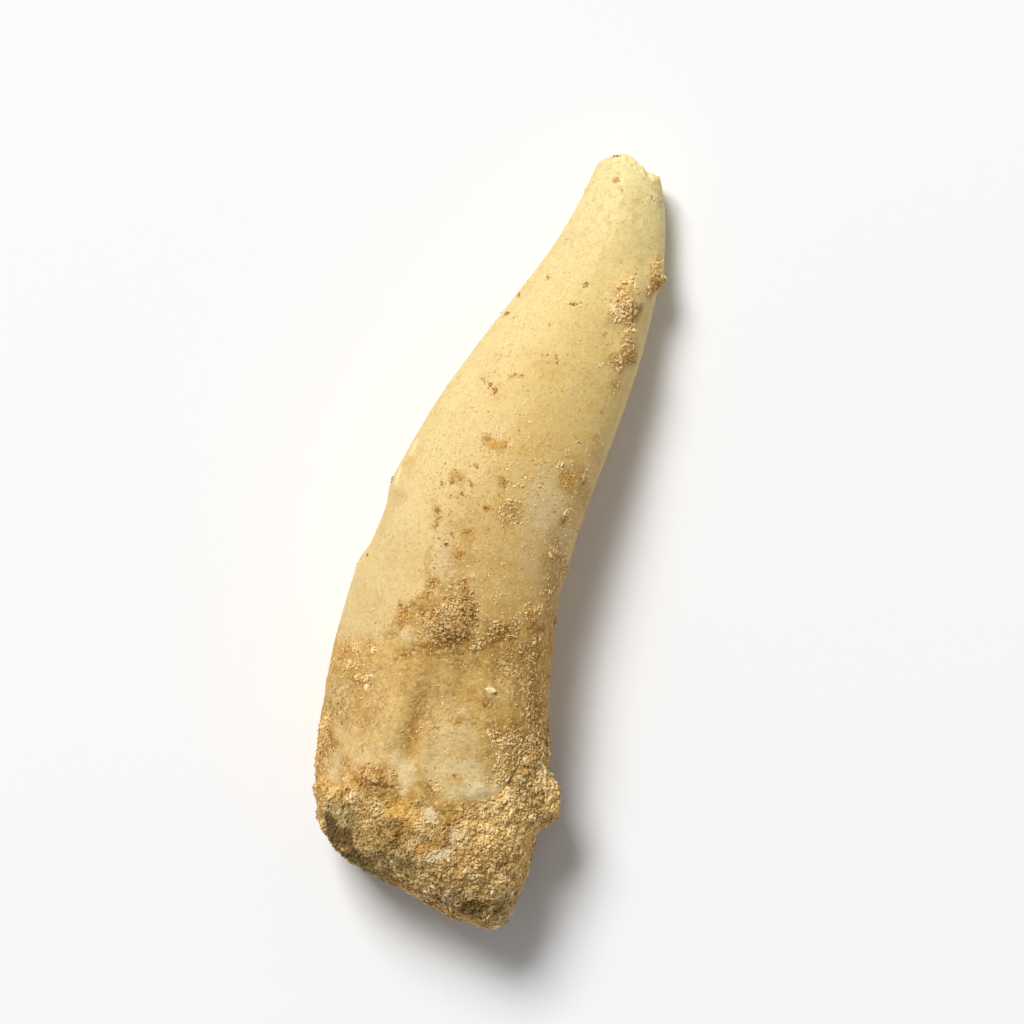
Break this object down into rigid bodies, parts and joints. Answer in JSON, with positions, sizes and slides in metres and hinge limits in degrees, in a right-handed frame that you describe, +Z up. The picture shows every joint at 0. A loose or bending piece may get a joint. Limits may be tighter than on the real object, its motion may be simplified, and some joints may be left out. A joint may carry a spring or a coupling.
{
  "type": "fossil fish tooth",
  "caption": "Fossil fish fang lying flat: a curved cream enamel crown with a broken tip, its root end cased in a crust of cemented tan sand.",
  "frame": {"origin": "under the middle of the specimen's bounding box, on the surface that it lies on", "axes": "+Y along the fang from root to tip, +Z up from the surface, +X towards the fang's rounded back edge"},
  "size_m": [0.0136, 0.04, 0.0089],
  "materials": {
    "tooth": "satin cream enamel, tan and dull towards the root",
    "matrix": "rough cemented sand"
  },
  "bodies": {
    "root": {"tooth": "tooth", "matrix_crust": "matrix"}
  },
  "joints": []
}
